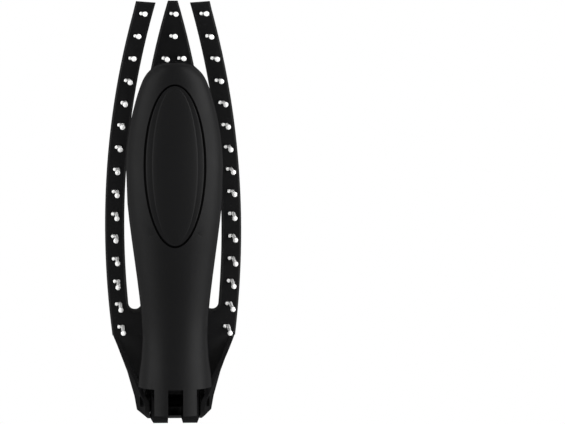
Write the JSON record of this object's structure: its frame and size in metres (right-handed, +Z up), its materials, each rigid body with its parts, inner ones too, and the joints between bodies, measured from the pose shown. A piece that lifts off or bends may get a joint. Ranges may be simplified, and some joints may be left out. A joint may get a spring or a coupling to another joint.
{
  "type": "folding hairbrush",
  "caption": "Folding vent hairbrush: a bowed head with ball-tipped pins and long slots, and a handle that swings open on a hinge pin at its foot.",
  "frame": {"origin": "middle of the bounding box in plan, on the plane the folded brush stands on", "axes": "+Z up towards the tips of the head's prongs, +Y towards the back of the head, -Y towards the folded handle, +X across the brush"},
  "size_m": [0.043, 0.0427, 0.1296],
  "materials": {
    "frame_plastic": "fine matte",
    "handle_plastic": "fine matte",
    "inlay_plastic": "satin",
    "nylon": "translucent gloss",
    "steel": "drawn"
  },
  "bodies": {
    "head": {"head_frame": "frame_plastic", "bristle_row_01": "nylon", "bristle_row_02": "nylon", "bristle_row_03": "nylon", "bristle_row_04": "nylon", "bristle_row_05": "nylon", "bristle_row_06": "nylon", "bristle_row_07": "nylon", "bristle_row_08": "nylon", "bristle_row_09": "nylon", "bristle_row_10": "nylon", "bristle_row_11": "nylon", "bristle_row_12": "nylon", "bristle_row_13": "nylon", "bristle_row_14": "nylon", "bristle_row_15": "nylon", "bristle_anchors": "steel"},
    "handle": {"handle_front": "handle_plastic", "handle_back": "handle_plastic", "grip_inlay": "inlay_plastic", "hinge_pin": "handle_plastic"}
  },
  "joints": [
    {"name": "fold_hinge", "type": "hinge", "parent": "head", "child": "handle", "pos_m": [0, -0.0026, 0.0055], "axis": [1, 0, 0], "range_deg": [0, 180]}
  ]
}
